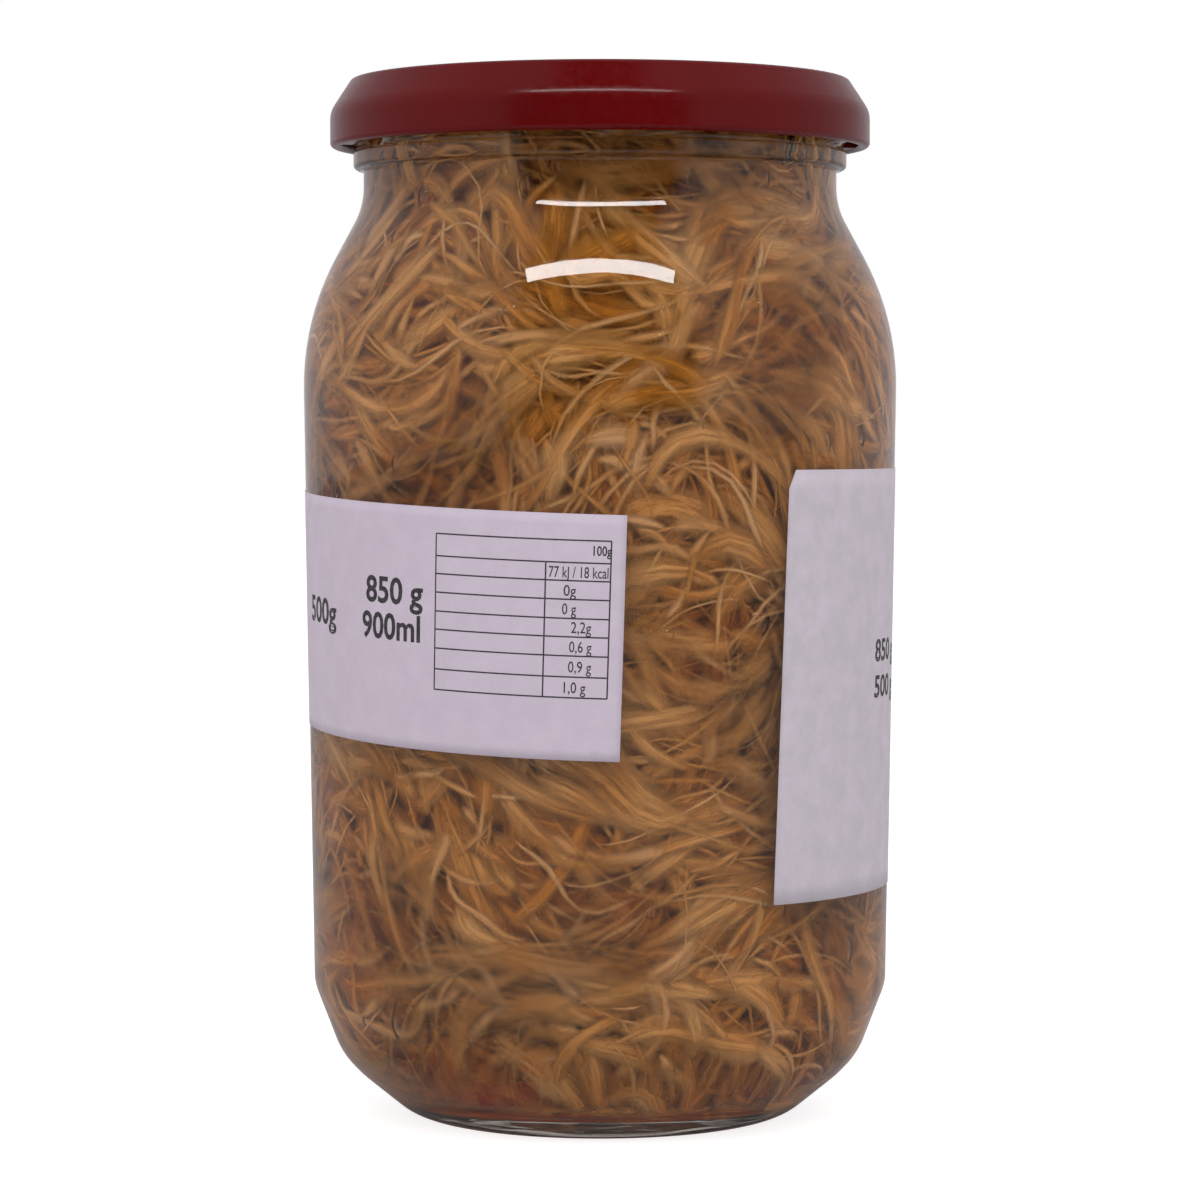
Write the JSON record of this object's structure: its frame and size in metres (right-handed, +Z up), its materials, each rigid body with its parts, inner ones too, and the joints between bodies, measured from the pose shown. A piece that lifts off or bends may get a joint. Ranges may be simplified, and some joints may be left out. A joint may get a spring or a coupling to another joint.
{
  "type": "jar of sauerkraut",
  "caption": "Closed glass jar with rounded shoulder and heel, filled with shredded sauerkraut in brine, with a pressed red twist-off lid and two plain paper labels.",
  "frame": {"origin": "on the table, at the middle of the jar's base", "axes": "+Z up along the jar's axis, -Y towards the gap between the two labels, +X to the right seen from there"},
  "size_m": [0.0946, 0.0946, 0.1651],
  "materials": {
    "glass": "clear and glossy, slightly wavy",
    "lacquered_tinplate": "glossy dark red lacquer",
    "sauerkraut": "wet, translucent shreds in brine",
    "label_paper": "matt white paper"
  },
  "bodies": {
    "root": {"glass_jar": "glass", "lid": "lacquered_tinplate", "sauerkraut": "sauerkraut", "label_left": "label_paper", "label_right": "label_paper"}
  },
  "joints": []
}
